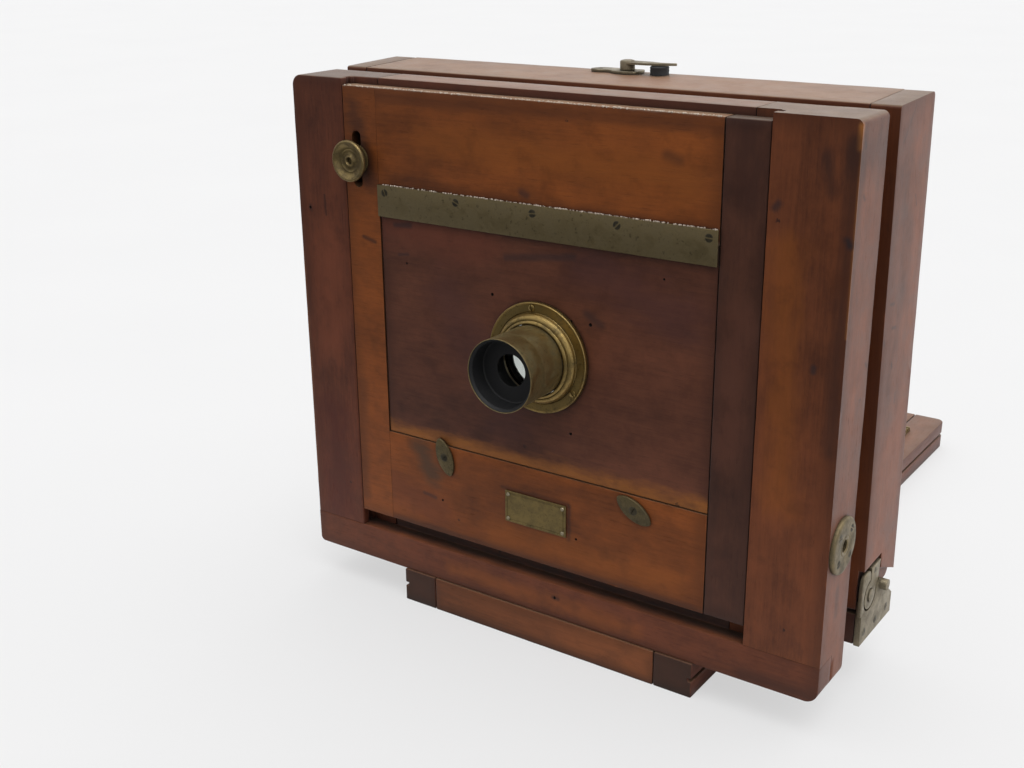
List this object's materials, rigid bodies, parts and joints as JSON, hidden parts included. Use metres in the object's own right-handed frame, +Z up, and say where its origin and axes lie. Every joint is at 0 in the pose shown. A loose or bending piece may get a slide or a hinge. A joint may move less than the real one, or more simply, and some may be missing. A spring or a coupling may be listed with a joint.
{
  "type": "large format view camera",
  "caption": "Wooden large format view camera with a rising front, brass lens, bellows, leaning back on a geared carriage, ground glass frame and folding tailboard.",
  "frame": {"origin": "on the bed's underside, under the front face of the front standard, in the middle of the camera's width", "axes": "+X right as seen from the front, +Y from the lens towards the ground glass, +Z up"},
  "size_m": [0.3358, 0.442, 0.3072],
  "materials": {
    "mahogany": "worn french polish",
    "honey_wood": "worn french polish",
    "dark_wood": "worn french polish",
    "aged_brass": "lacquered, tarnished",
    "dull_brass": "dull, tarnished",
    "blackened_metal": "matt black",
    "bellows_leather": "matt, creased",
    "clear_glass": "polished",
    "ground_glass": "ground"
  },
  "bodies": {
    "bed": {"bed_left_rail": "mahogany", "bed_right_rail": "mahogany", "bed_rack_left": "aged_brass", "bed_rack_right": "aged_brass", "bed_front_rail": "honey_wood", "bed_centre_board": "honey_wood", "tripod_plate": "aged_brass", "tail_hinge_fixed_leaf": "aged_brass", "front_left_stile": "mahogany", "front_right_stile": "mahogany", "front_top_rail": "mahogany", "front_bottom_rail": "mahogany", "side_tripod_bush": "dull_brass", "bellows_front": "bellows_leather"},
    "rise_clamp": {"rise_clamp_knob": "aged_brass"},
    "rising_front": {"panel_left_stile": "honey_wood", "panel_right_stile": "dark_wood", "panel_top_rail": "honey_wood", "panel_bottom_rail": "honey_wood", "lens_board": "dark_wood", "lens_board_strip": "dull_brass", "nameplate": "aged_brass", "lens_flange": "aged_brass"},
    "button_left": {"turn_button_left": "dull_brass"},
    "button_right": {"turn_button_right": "dull_brass"},
    "lens": {"lens_barrel": "aged_brass", "lens_hood": "aged_brass", "lens_stop": "blackened_metal", "lens_glass": "clear_glass", "lens_retaining_ring": "blackened_metal"},
    "carriage": {"carriage_sill": "dark_wood", "carriage_left_runner": "dull_brass", "carriage_right_runner": "dull_brass", "swing_plate_left": "dull_brass", "swing_plate_right": "dull_brass"},
    "focus_drive": {"focus_pinion_shaft": "aged_brass", "focus_knob": "aged_brass"},
    "back": {"back_left_side": "mahogany", "back_right_side": "mahogany", "back_top_board": "mahogany", "back_bottom_board": "mahogany", "plate_frame": "dark_wood", "swing_tongue_left": "dull_brass", "swing_tongue_right": "dull_brass", "focus_hinge_fixed_leaf": "aged_brass", "latch_plate": "dull_brass", "latch_post": "blackened_metal", "bellows_rear": "bellows_leather"},
    "hook": {"latch_hook": "dull_brass"},
    "focusing_frame": {"focus_frame": "mahogany", "ground_glass": "ground_glass", "focus_hinge_moving_leaf": "aged_brass"},
    "catch": {"focus_frame_catch": "dull_brass"},
    "tailboard": {"tail_left_rail": "mahogany", "tail_right_rail": "mahogany", "tail_front_rail": "mahogany", "tail_rear_rail": "mahogany", "tail_rack_left": "aged_brass", "tail_rack_right": "aged_brass", "tail_hinge_moving_leaf": "aged_brass"}
  },
  "joints": [
    {"name": "focus_slide", "type": "slide", "parent": "bed", "child": "carriage", "axis": [0, 1, 0], "range_m": [0, 0.29], "deforming": ["bellows_front"]},
    {"name": "focus_drive_turn", "type": "hinge", "parent": "carriage", "child": "focus_drive", "pos_m": [0, 0.07679, 0.0302], "axis": [1, 0, 0], "range_deg": [-2080, 0]},
    {"name": "back_swing", "type": "hinge", "parent": "carriage", "child": "back", "pos_m": [0, 0.0635, 0.051], "axis": [-1, 0, 0], "range_deg": [-2, 10], "deforming": ["bellows_rear"]},
    {"name": "latch_hook_turn", "type": "hinge", "parent": "back", "child": "hook", "pos_m": [0.0005, 0.08371, 0.30131], "axis": [0, -0.0332, 0.9995], "range_deg": [0, 100]},
    {"name": "focusing_frame_hinge", "type": "hinge", "parent": "back", "child": "focusing_frame", "pos_m": [-0.1445, 0.09775, 0.1737], "axis": [0, -0.0332, 0.9995], "range_deg": [0, 100]},
    {"name": "frame_catch_turn", "type": "hinge", "parent": "back", "child": "catch", "pos_m": [0.1528, 0.09555, 0.17363], "axis": [0, 0.9995, 0.0332], "range_deg": [-90, 0]},
    {"name": "tailboard_fold", "type": "hinge", "parent": "bed", "child": "tailboard", "pos_m": [0, 0.1302, 0.023], "axis": [-1, 0, 0], "range_deg": [-90, 0]},
    {"name": "front_rise", "type": "slide", "parent": "bed", "child": "rising_front", "axis": [0, 0, 1], "range_m": [-0.0095, 0.012]},
    {"name": "rise_clamp_turn", "type": "hinge", "parent": "bed", "child": "rise_clamp", "pos_m": [-0.116, 0, 0.257], "axis": [0, 1, 0], "continuous": true},
    {"name": "left_button_turn", "type": "hinge", "parent": "rising_front", "child": "button_left", "pos_m": [-0.062, 0, 0.0976], "axis": [0, 1, 0], "continuous": true},
    {"name": "right_button_turn", "type": "hinge", "parent": "rising_front", "child": "button_right", "pos_m": [0.0574, 0, 0.0964], "axis": [0, 1, 0], "continuous": true},
    {"name": "lens_turn", "type": "hinge", "parent": "rising_front", "child": "lens", "pos_m": [0, 0, 0.167], "axis": [0, 1, 0], "continuous": true}
  ],
  "couplings": [
    {"joint": "focus_drive_turn", "follows": "focus_slide", "rad_per_m": -125}
  ]
}
